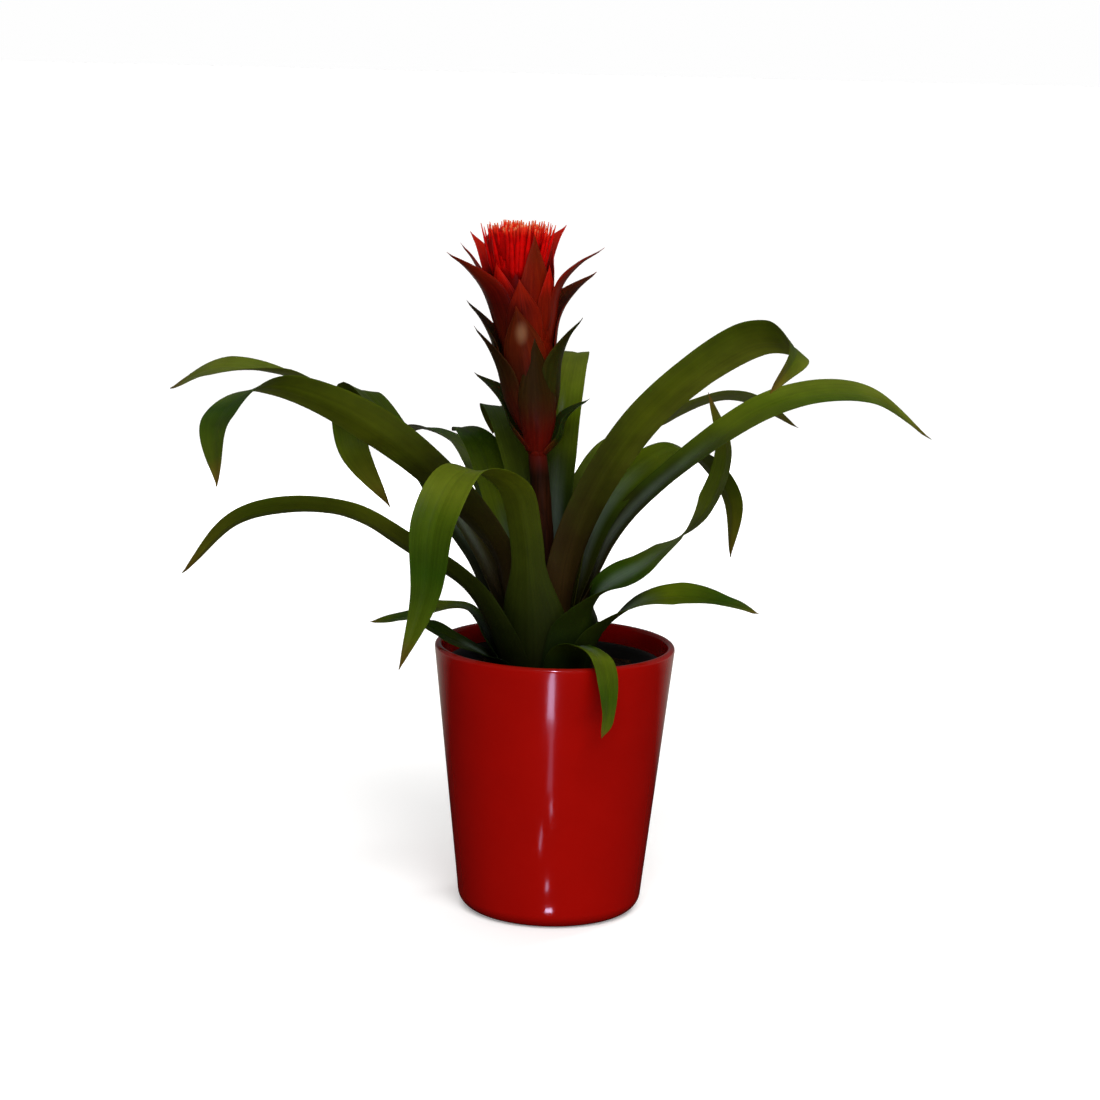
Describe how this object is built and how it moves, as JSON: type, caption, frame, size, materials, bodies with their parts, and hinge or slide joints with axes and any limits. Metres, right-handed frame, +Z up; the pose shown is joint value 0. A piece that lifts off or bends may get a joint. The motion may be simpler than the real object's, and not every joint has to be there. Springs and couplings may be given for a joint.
{
  "type": "potted guzmania",
  "caption": "Flowering guzmania: a rosette of arching strap leaves round an upright red bract spike, in a nursery pot inside a tapered red glazed cachepot",
  "frame": {"origin": "middle of the cachepot's flat foot, on the surface it stands on", "axes": "+Z up along the pot's axis, +X to the right in the picture, +Y away from the camera"},
  "size_m": [0.4318, 0.3879, 0.3723],
  "materials": {
    "red_glaze": "gloss",
    "nursery_plastic": "satin",
    "potting_mix": "matte",
    "leaf": "satin",
    "stalk": "satin",
    "bracts": "satin",
    "brush": "satin"
  },
  "bodies": {
    "root": {"flower_stalk": "stalk", "flower_head": "bracts", "floret_brush": "brush", "leaf_back_right_inner": "leaf", "leaf_right_tall": "leaf", "leaf_back_inner": "leaf", "leaf_front": "leaf", "leaf_back_left_inner": "leaf", "leaf_right_mid": "leaf", "leaf_left_tall": "leaf", "leaf_right_long": "leaf", "leaf_left_long": "leaf", "leaf_back_right_long": "leaf", "leaf_back_left": "leaf", "leaf_left_mid": "leaf", "leaf_right_twisted": "leaf", "leaf_left_low": "leaf", "leaf_right_low": "leaf", "leaf_left_short": "leaf", "leaf_front_short": "leaf", "leaf_left_rim": "leaf", "leaf_back_low": "leaf", "leaf_back_left_low": "leaf", "cachepot": "red_glaze", "grower_pot": "nursery_plastic", "soil": "potting_mix"}
  },
  "joints": []
}
